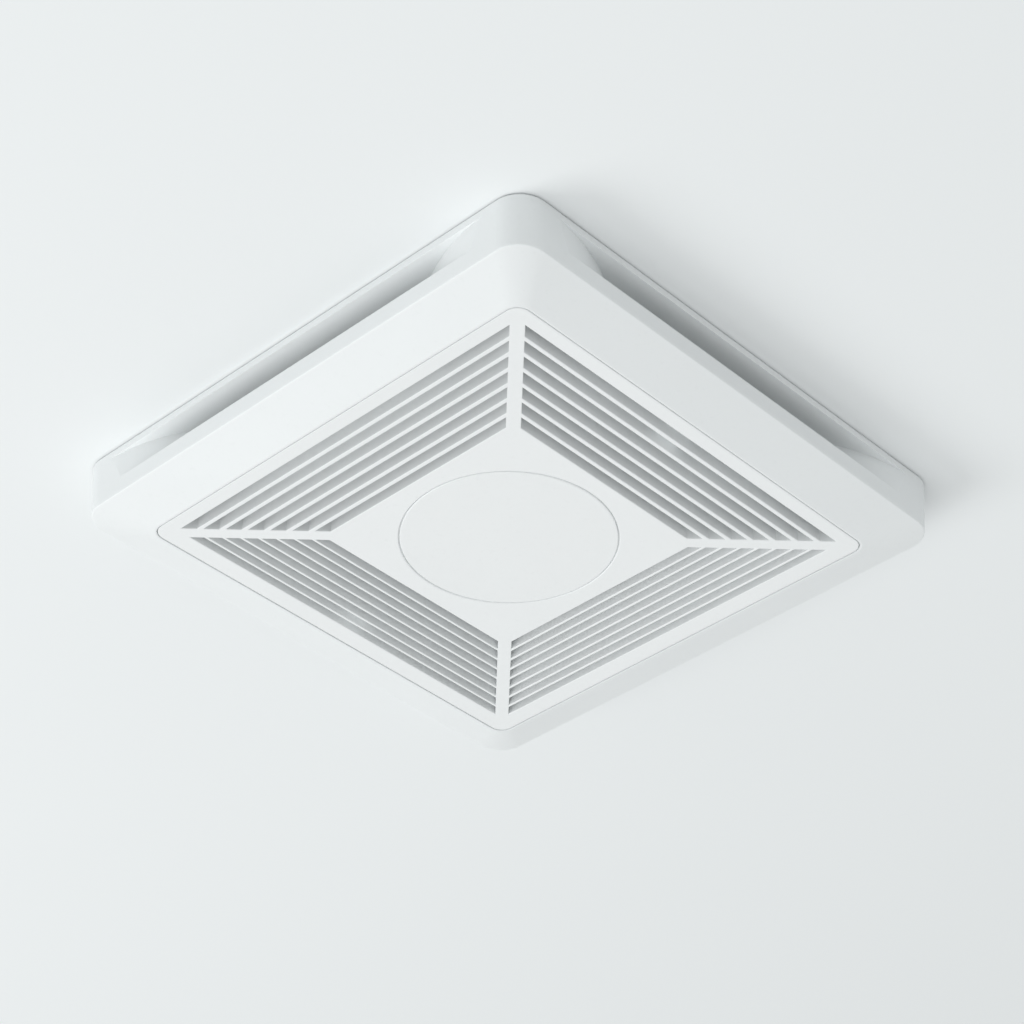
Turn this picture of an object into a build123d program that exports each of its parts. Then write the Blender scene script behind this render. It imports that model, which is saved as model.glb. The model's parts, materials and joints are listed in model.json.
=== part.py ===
from build123d import *
import math
import os

# Bathroom extractor fan for a ceiling: a fascia frame with a drop-down grille, a box
# in the ceiling void, and a centrifugal blower that feeds a round duct spigot.
# Millimetres. The ceiling plane is z = 0, +Z points up into the void, and the origin
# is the centre of the fan on the ceiling plane. Air leaves along +X.

# ---- Fascia frame -------------------------------------------------------------------
FACE_SIDE = 300.0           # side of the frame at the ceiling
WALL_DRAFT = 1.5            # taken off each side from the ceiling to the crease
CREASE_SIDE = FACE_SIDE - 2 * WALL_DRAFT
FACE_CORNER = 15.0          # plan radius of the outer corners
SHADOW_GAP = 1.0            # gap between the frame and the ceiling
FLANGE_T = 3.6              # thickness of the ring against the ceiling
AIR_SLOT_H = 15.0           # height of the side air slots
STRIP_H = 9.2               # height of the wall below the side air slots
BEVEL_H = 8.0               # drop of the bevelled band
BEVEL_W = 25.0              # its width in plan
FRAME_WALL = 2.0
CREASE_FILLET = 0.8
EDGE_FILLET = 0.4
RAMP_START = 17.0           # from the virtual corner to where a slot ramp begins
RAMP_R = 110.0              # plan radius of a slot ramp
RAMP_DEPTH = 24.0           # how far a slot ramp reaches in from the outer wall
GASKET_SETBACK = 5.0        # from the frame's edge in to the foam strip
GASKET_W = 9.0
GASKET_OUTER_SIDE = FACE_SIDE - 2 * GASKET_SETBACK
GASKET_INNER_SIDE = GASKET_OUTER_SIDE - 2 * GASKET_W

# ---- Grille ---------------------------------------------------------------------------
OPENING_SIDE = CREASE_SIDE - 2 * BEVEL_W
OPENING_CORNER = 7.4
SEAM = 0.6                  # gap all round between the grille and the frame
REBATE_W = 1.2              # ledge in the frame behind the grille's edge
REBATE_DEPTH = 1.6          # from the face up to that ledge
LIP_T = 1.8                 # upstanding lip round the grille opening
LIP_H = 12.8
PLATE_T = 2.2               # grille face plate
SKIRT_T = 1.8
SKIRT_H = 10.0
SLAT_DEPTH = 8.0
RIB_W = 7.0                 # width of the diagonal ribs
NEAR_SLOTS = 7              # slots on the -X and -Y sides
NEAR_PITCH = 7.67
NEAR_OPEN = 5.4
NEAR_START = 63.8           # from the centre to the inner edge of the first slot
FAR_SLOTS = 8               # slots on the +X and +Y sides
FAR_PITCH = 6.17
FAR_OPEN = 4.8
FAR_START = 64.5
SLOT_CHAMFER = 0.25
BLOCK_MARGIN = 2.4          # solid border round the slot fields
DISC_R = 53.4
DISC_T = 1.1
GROOVE = 0.6                # groove round the centre disc
GROOVE_CHAMFER = 0.35       # on both edges of that groove
DISC_GAP = 0.1              # behind the centre disc
STOP_GAP = 0.3              # between the grille's skirt and the stops on the frame
STOP_REACH = 3.0
GRILLE_TRAVEL = 40.0

# ---- Box in the ceiling void ----------------------------------------------------------
BOX_SIDE = 228.0            # outer side, for a 232 mm cut-out
BOX_H = 128.0
BOX_WALL = 2.0
BOX_CORNER = 5.0
BOX_FLANGE_W = 17.0
BOX_FLANGE_SIDE = BOX_SIDE + 2 * BOX_FLANGE_W
BOX_FLANGE_T = 2.0
CEILING_SCREW_PITCH = BOX_SIDE + BOX_FLANGE_W
CEILING_HOLE_R = 2.5
FRAME_SCREW_OFFSET = BOX_SIDE / 2 + 4.5
RING_INNER_SIDE = BOX_SIDE + 1.0

# ---- Blower -----------------------------------------------------------------------------
WHEEL_R = 70.0
WHEEL_Z0 = 31.0
WHEEL_Z1 = 102.0
BLADE_COUNT = 36
BLADE_T = 1.0
BLADE_W = 11.0
BLADE_INNER_R = WHEEL_R - BLADE_W
SHEET = 1.5                 # sheet thickness of the scroll and the inlet ring
SCROLL_Z0 = 24.0
SCROLL_START_R = WHEEL_R + 7.5       # first arc of the scroll
SCROLL_GROWTH = 7.0         # radius gained each quarter turn
TONGUE_ANGLE = -42.0
SCROLL_FLANGE = 4.0
THROAT_R = BLADE_INNER_R - 5.0
BELL_R = 12.0               # radius of the bell mouth's curve
WHEEL_RING_T = 2.5
DISH_T = 2.0                # thickness of the wheel's back plate
HUB_R = 10.0
HUB_Z0 = 46.0
HUB_Z1 = 62.0

# ---- Motor ------------------------------------------------------------------------------
MOTOR_R = 42.0
MOTOR_Z0 = 72.0
MOTOR_Z1 = 115.0
SHAFT_R = 4.0
RUNNING_FIT = 0.05          # radial clearance of a shaft in its bore
ROTOR_R = MOTOR_R - 19.5
AIR_GAP = 0.5
CORE_Z0 = 83.0
CORE_Z1 = 103.0
MOUNT_SCREW_PCR = 32.0      # radius of the motor's three screws from its axis
SHAFT_Z0 = 39.0
NUT_Z0 = 41.5
BEARING_R = 9.5
BEARING_H = 6.0
BEARING_SEAT = 1.5          # from a motor end to its bearing
CAP_T = 8.0                 # height of a motor end cap
DISH_R = MOTOR_R + 5.0      # wheel's back plate, dished round the motor

# ---- Duct spigot and back-draught damper ---------------------------------------------
SPIGOT_R = 49.0             # outer radius, for a 100 mm duct
SPIGOT_WALL = 3.0
SPIGOT_L = 62.0
SPIGOT_Y = -48.0
SPIGOT_FLANGE_SIDE = 2 * SPIGOT_R + 8.0
SPIGOT_FLANGE_T = 3.0
DAMPER_X = 12.0             # from the flange's back face to the damper pin
DAMPER_PIN_R = 1.5
KNUCKLE_R = 3.2
LEAF_T = 1.2
LEAF_CLEARANCE = 1.0
LEAF_KNUCKLES = 5           # shared between the two leaves
SPRING_ROOM = 12.0          # length of pin left at each end of the knuckles

# ---- Grille springs ---------------------------------------------------------------------
WIRE_R = 0.9
SPRING_Y = BOX_SIDE / 2 - BOX_WALL - 5.5     # plane of the springs from the centre
COIL_INNER_R = 3.2
COIL_L = 3.8
COIL_TO_LEG = 0.3
SPRING_Z = -20.0            # height of the coils at rest
LEG_L = 84.0
HOOK_L = 8.0
LEG_ANGLE = 25.0            # each leg's angle from the vertical at rest
LEG_SWING = 16.0            # turned inwards over the grille's whole travel
BRACKET_Z = 6.0
BRACKET_T = 1.5
BRACKET_SLOT_GAP = 0.4

# ---- Wiring -----------------------------------------------------------------------------
LEAD_R = 2.2
TERMINAL_BOX_SIDE = 36.0
TERMINAL_BOX_H = 36.0
TERMINAL_WALL = 1.8
TERMINAL_COVER_T = 2.4
GLAND_BORE_R = 3.5
GLAND_THREAD_R = 8.0
TERMINAL_Z0 = 30.0
GROMMET_NECK_R = 3.2
LEAD_BEND_R = 22.0
LEAD_START_R = 27.0

# ---- Capacitor and its clip --------------------------------------------------------------
CAP_X = 90.0
CAP_Z = 62.0
CAP_L = 37.0
CAP_W = 26.0
CAP_D = 14.0
CLIP_T = 1.0
CLIP_W = 12.0
CLIP_GAP = 0.1

# ---- Levels and places worked out from the sizes above -----------------------------------
Z_RIM = -SHADOW_GAP
Z_FLANGE = Z_RIM - FLANGE_T
Z_STRIP = Z_FLANGE - AIR_SLOT_H
Z_CREASE = Z_STRIP - STRIP_H
Z_FACE = Z_CREASE - BEVEL_H
PANEL_SIDE = OPENING_SIDE - 2 * SEAM
PANEL_CORNER = OPENING_CORNER - SEAM
BOX_INNER = BOX_SIDE / 2 - BOX_WALL
Z_LID = BOX_H - BOX_WALL                    # underside of the box's top
SCROLL_Z1 = Z_LID - SHEET                   # underside of the scroll's top plate
SPIGOT_Z = (SCROLL_Z0 + SCROLL_Z1) / 2
SPIGOT_X = BOX_SIDE / 2
TERMINAL_Y = BOX_INNER - 1.0 - TERMINAL_BOX_SIDE / 2
TERMINAL_X = -TERMINAL_Y
GLAND_Z = TERMINAL_Z0 + TERMINAL_BOX_H / 2
LEAD_Z = (MOTOR_Z1 + SCROLL_Z1) / 2
SCREW_CLEARANCE = 0.05


def slab(side_x, side_y, corner, z_low, z_high, x=0.0, y=0.0):
    """Upright prism with rounded corners."""
    outline = Pos(x, y, z_low) * RectangleRounded(side_x, side_y, corner)
    return extrude(outline, z_high - z_low)


def block(x_low, x_high, y_low, y_high, z_low, z_high):
    """Box between two corners."""
    centre = Pos((x_low + x_high) / 2, (y_low + y_high) / 2, (z_low + z_high) / 2)
    return centre * Box(x_high - x_low, y_high - y_low, z_high - z_low)


def rod(radius, z_low, z_high, x=0.0, y=0.0):
    """Upright cylinder."""
    return Pos(x, y, (z_low + z_high) / 2) * Cylinder(radius, z_high - z_low)


def ring(outer_r, inner_r, z_low, z_high, x=0.0, y=0.0):
    """Upright tube."""
    return rod(outer_r, z_low, z_high, x, y) - rod(inner_r, z_low - 1, z_high + 1, x, y)


def tapered(side_low, corner_low, z_low, side_high, corner_high, z_high):
    """Four-sided solid between two rounded squares."""
    low = Pos(0, 0, z_low) * RectangleRounded(side_low, side_low, corner_low)
    high = Pos(0, 0, z_high) * RectangleRounded(side_high, side_high, corner_high)
    return loft([low, high], ruled=True)


def polar(radius, degrees):
    """Point in plan at a radius and an angle."""
    turn = math.radians(degrees)
    return (radius * math.cos(turn), radius * math.sin(turn))


def group(pieces):
    """Several separate solids in one node."""
    return Compound(children=[solid for piece in pieces for solid in piece.solids()])


def pan_screw(shank_r, length, head_r, head_h):
    """Screw along +Z: shank from z = 0 up, pan head below z = 0, with a cross recess."""
    head = Pos(0, 0, -head_h / 2) * Cylinder(head_r, head_h)
    rim = head.edges().filter_by(GeomType.CIRCLE).group_by(Axis.Z)[0]
    head = fillet(rim, head_h * 0.45)
    recess = Pos(0, 0, -head_h) * (Box(head_r, 0.9, head_h) + Box(0.9, head_r, head_h))
    return head + Pos(0, 0, length / 2) * Cylinder(shank_r, length) - recess


# ---- Fascia frame -------------------------------------------------------------------

def frame_outside():
    """Drafted wall and bevelled band, as a solid."""
    wall = tapered(CREASE_SIDE, FACE_CORNER, Z_CREASE, FACE_SIDE, FACE_CORNER, Z_RIM)
    land = OPENING_SIDE + 2 * EDGE_FILLET + 0.8
    bevel = tapered(land, OPENING_CORNER + EDGE_FILLET, Z_FACE, CREASE_SIDE, FACE_CORNER, Z_CREASE)
    body = wall + bevel
    crease = body.edges().filter_by_position(Axis.Z, Z_CREASE - 0.01, Z_CREASE + 0.01)
    return fillet(crease, CREASE_FILLET)


def frame_cavity():
    """Hollow of the frame: the outside moved in by the wall."""
    slope = BEVEL_H / ((CREASE_SIDE - OPENING_SIDE) / 2)
    crease_in = CREASE_SIDE - 2 * FRAME_WALL
    lip_side = OPENING_SIDE + 2 * LIP_T
    z_floor = Z_FACE + FRAME_WALL * 1.1
    z_turn = z_floor + slope * (crease_in - lip_side) / 2
    corner_in = FACE_CORNER - FRAME_WALL
    upper = tapered(crease_in, corner_in, z_turn, FACE_SIDE - 2 * FRAME_WALL, corner_in, Z_RIM + 1)
    lower = tapered(lip_side, OPENING_CORNER + LIP_T, z_floor, crease_in, corner_in, z_turn)
    return upper + lower


def ramp_sector(radius):
    """Disc inside the ramp at the -X end of the -Y side."""
    return Pos(-FACE_SIDE / 2 + RAMP_START, -FACE_SIDE / 2 + RAMP_R) * Circle(radius)


def side_scoop():
    """Volume of the -Y air slot between its two curved ramps."""
    outer_y = -FACE_SIDE / 2 - 5
    inner_y = -FACE_SIDE / 2 + RAMP_DEPTH
    half = FACE_SIDE / 2 - RAMP_START
    plan = Pos(0, (outer_y + inner_y) / 2) * Rectangle(2 * half, inner_y - outer_y)
    plan -= ramp_sector(RAMP_R)
    plan -= mirror(ramp_sector(RAMP_R), Plane.YZ)
    return extrude(Pos(0, 0, Z_STRIP) * plan, AIR_SLOT_H)


def side_ramps():
    """Curved ramp walls at both ends of the -Y air slot."""
    skin = ramp_sector(RAMP_R) - ramp_sector(RAMP_R - FRAME_WALL)
    start_x = -FACE_SIDE / 2 + RAMP_START
    keep_y = -FACE_SIDE / 2 + RAMP_DEPTH / 2
    keep = Pos(start_x + RAMP_R / 2, keep_y) * Rectangle(RAMP_R, RAMP_DEPTH)
    plan = skin & keep
    wall = extrude(Pos(0, 0, Z_FACE + FRAME_WALL) * plan, Z_FLANGE - Z_FACE - FRAME_WALL + 0.5)
    return wall, mirror(wall, Plane.YZ)


def fascia_frame():
    outside = frame_outside()
    body = outside - frame_cavity()
    ring_slab = slab(FACE_SIDE, FACE_SIDE, FACE_CORNER, Z_FLANGE, Z_RIM) & outside
    body += ring_slab
    for turn in range(4):
        for wall in side_ramps():
            body += (Rot(0, 0, 90 * turn) * wall) & outside
    body -= slab(RING_INNER_SIDE, RING_INNER_SIDE, BOX_CORNER, Z_FLANGE - 1, 1)
    recess_side = BOX_FLANGE_SIDE + 2.0
    body -= slab(recess_side, recess_side, BOX_CORNER + 1, -BOX_FLANGE_T - 0.1, 1)
    lip_side = OPENING_SIDE + 2 * LIP_T
    body += slab(lip_side, lip_side, OPENING_CORNER + LIP_T, Z_FACE + FRAME_WALL, Z_FACE + LIP_H)
    throat = OPENING_SIDE - 2 * REBATE_W
    body -= slab(throat, throat, OPENING_CORNER - REBATE_W, Z_FACE - 1, Z_FACE + LIP_H + 1)
    body -= slab(OPENING_SIDE, OPENING_SIDE, OPENING_CORNER, Z_FACE - 1, Z_FACE + REBATE_DEPTH)
    for turn in range(4):
        body -= Rot(0, 0, 90 * turn) * side_scoop()
        body += Rot(0, 0, 90 * turn) * frame_stops()
        body -= Rot(0, 0, 90 * turn) * frame_holes()
    return body


def frame_stops():
    """Two small ledges on the -Y lip that stop the grille's skirt from rising."""
    z_low = Z_FACE + SKIRT_H + STOP_GAP
    edge_y = -OPENING_SIDE / 2
    left = block(-86, -74, edge_y - LIP_T / 2, edge_y + STOP_REACH, z_low, Z_FACE + LIP_H)
    return left + mirror(left, Plane.YZ)


def frame_holes():
    """Screw hole in the middle of the -Y side and access to the -X -Y ceiling screw."""
    corner = -CEILING_SCREW_PITCH / 2
    access = rod(6.0, Z_FLANGE - 1, 1, corner, corner)
    return rod(1.8, Z_FLANGE - 1, 1, 0, -FRAME_SCREW_OFFSET) + access


def ceiling_gasket():
    outer = slab(GASKET_OUTER_SIDE, GASKET_OUTER_SIDE, 10.0, Z_RIM, 0)
    return outer - slab(GASKET_INNER_SIDE, GASKET_INNER_SIDE, 4.0, Z_RIM - 1, 1)


# ---- Grille ---------------------------------------------------------------------------

def slot_cut(start, opening):
    """One trapezoid slot on the -Y side, chamfered at the face."""
    z_top = Z_FACE + SLAT_DEPTH + 1

    def outline(grow, z):
        near = start - grow
        far = start + opening + grow
        back = RIB_W / math.sqrt(2) - grow
        points = [(-near + back, -near), (-far + back, -far), (far - back, -far), (near - back, -near)]
        return Pos(0, 0, z) * make_face(Polyline(points + [points[0]]))

    through = extrude(outline(0, Z_FACE - 1), z_top - Z_FACE + 1)
    mouth = loft([outline(SLOT_CHAMFER, Z_FACE - 0.001), outline(0, Z_FACE + SLOT_CHAMFER)], ruled=True)
    return through + mouth


def slot_field(count, pitch, opening, start):
    """All the slots on the -Y side."""
    return [slot_cut(start + pitch * index, opening) for index in range(count)]


def spring_post():
    """Lug and pin on the -Y side of the grille that carry a spring coil."""
    z_base = Z_FACE + SLAT_DEPTH
    near_y = SPRING_Y - COIL_L / 2 - COIL_TO_LEG - 2 * WIRE_R - COIL_TO_LEG
    far_y = SPRING_Y + COIL_L / 2 + COIL_TO_LEG + 2 * WIRE_R + COIL_TO_LEG
    lug_t = 2.2
    foot = block(-8, 8, -far_y - 0.8, -near_y + lug_t, z_base - 0.5, z_base + 1.8)
    lug = block(-5.5, 5.5, -near_y, -near_y + lug_t, z_base, SPRING_Z)
    eye = Pos(0, -near_y + lug_t / 2, SPRING_Z) * Rot(90, 0, 0) * Cylinder(5.5, lug_t)
    pin_r = COIL_INNER_R - RUNNING_FIT
    pin_l = far_y - near_y + 0.8
    pin = Pos(0, -near_y - pin_l / 2, SPRING_Z) * Rot(90, 0, 0) * Cylinder(pin_r, pin_l)
    barb = Pos(0, -far_y - 0.4, SPRING_Z) * Rot(90, 0, 0) * Cylinder(pin_r + 0.6, 0.8)
    return foot + lug + eye + pin + barb


def disc_pins():
    """Places of the centre disc's three snap pins."""
    return [polar(DISC_R - 12, 90 + 120 * index) for index in range(3)]


def grille_panel():
    plate = slab(PANEL_SIDE, PANEL_SIDE, PANEL_CORNER, Z_FACE, Z_FACE + REBATE_DEPTH - STOP_GAP)
    rim = plate.edges().filter_by_position(Axis.Z, Z_FACE - 0.01, Z_FACE + 0.01)
    body = fillet(rim, EDGE_FILLET)
    z_skirt = Z_FACE + SKIRT_H
    skirt_side = PANEL_SIDE - 2 * REBATE_W
    skirt_corner = PANEL_CORNER - REBATE_W
    inner = skirt_side - 2 * SKIRT_T
    body += slab(skirt_side, skirt_side, skirt_corner, Z_FACE + 1, z_skirt)
    body -= slab(inner, inner, skirt_corner - SKIRT_T, Z_FACE + PLATE_T, z_skirt + 1)
    far_edge = NEAR_START + NEAR_PITCH * (NEAR_SLOTS - 1) + NEAR_OPEN + BLOCK_MARGIN
    near_edge = min(NEAR_START, FAR_START) - BLOCK_MARGIN
    z_slat = Z_FACE + SLAT_DEPTH
    field = slab(2 * far_edge, 2 * far_edge, 1.0, Z_FACE + 1, z_slat)
    body += field - slab(2 * near_edge, 2 * near_edge, 1.0, Z_FACE, z_slat + 1)
    for turn in (0, -90):
        for cut in slot_field(NEAR_SLOTS, NEAR_PITCH, NEAR_OPEN, NEAR_START):
            body -= Rot(0, 0, turn) * cut
    for turn in (90, 180):
        for cut in slot_field(FAR_SLOTS, FAR_PITCH, FAR_OPEN, FAR_START):
            body -= Rot(0, 0, turn) * cut
    body += grille_back(near_edge)
    body += spring_post() + mirror(spring_post(), Plane.XZ)
    body -= disc_pocket()
    for x, y in disc_pins():
        body -= rod(2.0 + RUNNING_FIT, Z_FACE, Z_FACE + SLAT_DEPTH, x, y)
    return body


def disc_pocket():
    """Shallow round recess for the centre disc, chamfered at the face."""
    pocket = rod(DISC_R + GROOVE, Z_FACE - 1, Z_FACE + DISC_T + DISC_GAP)
    mouth_z = Z_FACE + GROOVE_CHAMFER / 2
    mouth = Pos(0, 0, mouth_z) * Cone(DISC_R + GROOVE + GROOVE_CHAMFER, DISC_R + GROOVE, GROOVE_CHAMFER)
    return pocket + mouth


def grille_back(near_edge):
    """Boss behind the centre disc and the four webs that tie it to the slot fields."""
    boss = rod(DISC_R + GROOVE + 3, Z_FACE + PLATE_T - 0.5, Z_FACE + PLATE_T + 2)
    z_web = Z_FACE + SLAT_DEPTH - 1.5
    webs = Rot(0, 0, 45) * block(-near_edge * 1.35, near_edge * 1.35, -1, 1, Z_FACE + PLATE_T, z_web)
    webs += Rot(0, 0, -45) * block(-near_edge * 1.35, near_edge * 1.35, -1, 1, Z_FACE + PLATE_T, z_web)
    hub = ring(14, 12, Z_FACE + PLATE_T, z_web)
    square = slab(2 * near_edge, 2 * near_edge, 1.0, Z_FACE + PLATE_T - 0.5, z_web)
    return (boss + webs + hub) & square


def centre_disc():
    disc = rod(DISC_R, Z_FACE, Z_FACE + DISC_T)
    edge = disc.edges().filter_by_position(Axis.Z, Z_FACE - 0.01, Z_FACE + 0.01)
    disc = chamfer(edge, GROOVE_CHAMFER)
    for x, y in disc_pins():
        disc += rod(2.0, Z_FACE + 1, Z_FACE + PLATE_T + 3.2, x, y)
    return disc


# ---- Grille springs --------------------------------------------------------------------

def spring_coil():
    """Close-wound coil between the two legs, on the -Y side, as stacked turns."""
    turns = int(COIL_L // (2 * WIRE_R))
    body = None
    mean_r = COIL_INNER_R + WIRE_R
    for index in range(turns):
        y = -SPRING_Y + (index - (turns - 1) / 2) * 2 * WIRE_R
        turn = Pos(0, y, SPRING_Z) * Rot(90, 0, 0) * Torus(mean_r, WIRE_R)
        band = Cylinder(mean_r + 0.3, 2 * WIRE_R) - Cylinder(mean_r - 0.3, 2 * WIRE_R)
        piece = turn + Pos(0, y, SPRING_Z) * Rot(90, 0, 0) * band
        body = piece if body is None else body + piece
    return body


def spring_leg(side):
    """Leg of the -Y spring that leans towards +X (side 1) or -X (side -1)."""
    offset = COIL_L / 2 + COIL_TO_LEG + WIRE_R
    y = -SPRING_Y + side * offset
    lean = math.radians(LEG_ANGLE)
    mean_r = COIL_INNER_R + WIRE_R
    along = (math.sin(lean) * side, math.cos(lean))
    start = (mean_r * math.cos(lean) * side, SPRING_Z - mean_r * math.sin(lean))
    bend = (start[0] + along[0] * LEG_L, start[1] + along[1] * LEG_L)
    hook = math.radians(LEG_ANGLE + 60)
    tip = (bend[0] + HOOK_L * math.sin(hook) * side, bend[1] + HOOK_L * math.cos(hook))
    corners = [(start[0], y, start[1]), (bend[0], y, bend[1]), (tip[0], y, tip[1])]
    path = FilletPolyline(*corners, radius=3.0)
    section = Plane(origin=corners[0], z_dir=(along[0], 0, along[1])) * Circle(WIRE_R)
    leg = sweep(section, path=path)
    eye = Pos(0, y, SPRING_Z) * Rot(90, 0, 0) * Cylinder(mean_r + WIRE_R * 0.8, 2 * WIRE_R)
    eye -= Pos(0, y, SPRING_Z) * Rot(90, 0, 0) * Cylinder(COIL_INNER_R, 3 * WIRE_R)
    return leg + eye


def leg_offset(drop):
    """Leg centre line from the middle, at the bracket, with the grille that far down."""
    lean = math.radians(LEG_ANGLE - LEG_SWING * drop / GRILLE_TRAVEL)
    height = BRACKET_Z + BRACKET_T - SPRING_Z + drop
    return (COIL_INNER_R + WIRE_R) / math.cos(lean) + height * math.tan(lean)


def spring_bracket():
    """Slotted bracket on the box's -Y wall that the legs bear on."""
    widest = max(leg_offset(GRILLE_TRAVEL * step / 8) for step in range(9))
    half = widest + WIRE_R / math.cos(math.radians(LEG_ANGLE)) + BRACKET_SLOT_GAP
    slot_w = COIL_L + 2 * COIL_TO_LEG + 4 * WIRE_R + 1.2
    reach = BOX_INNER - SPRING_Y + slot_w / 2 + 2.5
    shelf = block(-half - 5, half + 5, -BOX_INNER, -BOX_INNER + reach, BRACKET_Z, BRACKET_Z + BRACKET_T)
    tab = block(-half - 5, half + 5, -BOX_INNER, -BOX_INNER + 0.9, BRACKET_Z, BRACKET_Z + 16)
    slot = block(-half, half, -SPRING_Y - slot_w / 2, -SPRING_Y + slot_w / 2, BRACKET_Z - 1, BRACKET_Z + 3)
    body = shelf + tab - slot
    for x in bracket_screw_places():
        hole = Pos(x, -BOX_INNER, BRACKET_Z + 10) * Rot(90, 0, 0) * Cylinder(1.5 + SCREW_CLEARANCE, 8)
        body -= hole
    return body


def bracket_screw_places():
    return (-6.0, 6.0)


# ---- Box in the ceiling void ----------------------------------------------------------

def motor_screw_places():
    return [polar(MOUNT_SCREW_PCR, 75 + 120 * index) for index in range(3)]


def top_screw_places():
    """Screws that hold the scroll's top plate to the box's top."""
    return [polar(SCROLL_START_R - 12, angle) for angle in (20, 110, 200, 290)]


def spigot_screw_places():
    reach = SPIGOT_FLANGE_SIDE / 2 - 6.5
    return [(SPIGOT_Y + i * reach, SPIGOT_Z + j * reach) for i in (-1, 1) for j in (-1, 1)]


def housing_shell():
    """The whole box: top, walls and ceiling flange, with every hole."""
    body = slab(BOX_SIDE, BOX_SIDE, BOX_CORNER, -BOX_FLANGE_T, BOX_H)
    top_edges = body.edges().filter_by_position(Axis.Z, BOX_H - 0.01, BOX_H + 0.01)
    body = fillet(top_edges, BOX_WALL)
    body += slab(BOX_FLANGE_SIDE, BOX_FLANGE_SIDE, BOX_CORNER, -BOX_FLANGE_T, 0)
    body -= slab(2 * BOX_INNER, 2 * BOX_INNER, BOX_CORNER - BOX_WALL, -BOX_FLANGE_T - 1, Z_LID)
    half = CEILING_SCREW_PITCH / 2
    for x in (-half, half):
        for y in (-half, half):
            body -= rod(CEILING_HOLE_R, -BOX_FLANGE_T - 1, 1, x, y)
    for x, y in frame_screw_places():
        body -= rod(1.5 + SCREW_CLEARANCE, -BOX_FLANGE_T - 1, 1, x, y)
    for x, y in motor_screw_places():
        body -= rod(2.0 + SCREW_CLEARANCE, Z_LID - 1, BOX_H + 1, x, y)
    for x, y in top_screw_places():
        body -= rod(1.5 + SCREW_CLEARANCE, Z_LID - 1, BOX_H + 1, x, y)
    for side in (-1, 1):
        for x in bracket_screw_places():
            spot = Pos(x, side * BOX_INNER, BRACKET_Z + 10)
            body -= spot * Rot(90, 0, 0) * Cylinder(1.5 + SCREW_CLEARANCE, 8)
    bore = SPIGOT_R - SPIGOT_WALL
    body -= Pos(SPIGOT_X, SPIGOT_Y, SPIGOT_Z) * Rot(0, 90, 0) * Cylinder(bore, 12)
    for y, z in spigot_screw_places():
        body -= Pos(SPIGOT_X, y, z) * Rot(0, 90, 0) * Cylinder(1.5 + SCREW_CLEARANCE, 12)
    body -= Pos(-SPIGOT_X, TERMINAL_Y, GLAND_Z) * Rot(0, 90, 0) * Cylinder(GLAND_THREAD_R + 0.1, 12)
    for x, y in cap_screw_places():
        body -= Pos(x, BOX_INNER, y) * Rot(90, 0, 0) * Cylinder(1.5 + SCREW_CLEARANCE, 8)
    return body + housing_beads()


def wall_wedge():
    """Plan wedge that holds the box's +X wall, between the two diagonals."""
    reach = BOX_FLANGE_SIDE
    outline = Polyline((0, 0), (reach, -reach), (reach, reach), (0, 0))
    return extrude(make_face(outline), Z_LID)


def housing_panels():
    """The box as its panels: a top, four walls and the ceiling flange."""
    shell = housing_shell()
    span = BOX_FLANGE_SIDE
    panels = {
        "housing_top": shell & block(-span, span, -span, span, Z_LID, BOX_H + 5),
        "ceiling_flange": shell & block(-span, span, -span, span, -BOX_FLANGE_T, 0),
    }
    for name, turn in (("outlet", 0), ("back", 90), ("cable", 180), ("front", 270)):
        panels["housing_wall_" + name] = shell & (Rot(0, 0, turn) * wall_wedge())
    return panels


def housing_beads():
    """Pressed stiffening beads on the top and the plain walls."""
    bead_h = 0.8
    frame = slab(196, 196, 12, BOX_H, BOX_H + bead_h)
    frame -= slab(188, 188, 8, BOX_H - 1, BOX_H + 2)
    cut = frame
    for angle in (45, 135, 225, 315):
        x, y = polar(84, angle)
        cut += rod(7, BOX_H, BOX_H + bead_h, x, y)
    walls = []
    for level in (44, 92):
        walls.append(block(-70, 70, BOX_SIDE / 2, BOX_SIDE / 2 + bead_h, level - 2, level + 2))
        walls.append(block(-70, 70, -BOX_SIDE / 2 - bead_h, -BOX_SIDE / 2, level - 2, level + 2))
    for bead in walls:
        cut += bead
    return cut


def frame_screw_places():
    reach = FRAME_SCREW_OFFSET
    return [(reach, 0), (0, reach), (-reach, 0), (0, -reach)]


def frame_screws():
    screw = pan_screw(1.5, FLANGE_T + 1.0, 3.4, 1.8)
    return group([Pos(x, y, Z_FLANGE) * screw for x, y in frame_screw_places()])


def housing_screws():
    screw = Rot(180, 0, 0) * pan_screw(1.5, BOX_WALL + SHEET + 1.5, 3.2, 1.8)
    return group([Pos(x, y, BOX_H) * screw for x, y in top_screw_places()])


# ---- Scroll and inlet ring ------------------------------------------------------------

def scroll_arcs():
    """Centre and radius of the three arcs, from the tongue round to the outlet."""
    step = SCROLL_GROWTH
    first = ((0.0, step / 2), SCROLL_START_R)
    second = ((0.0, -step / 2), SCROLL_START_R + step)
    third = ((step, -step / 2), SCROLL_START_R + 2 * step)
    return first, second, third


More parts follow.
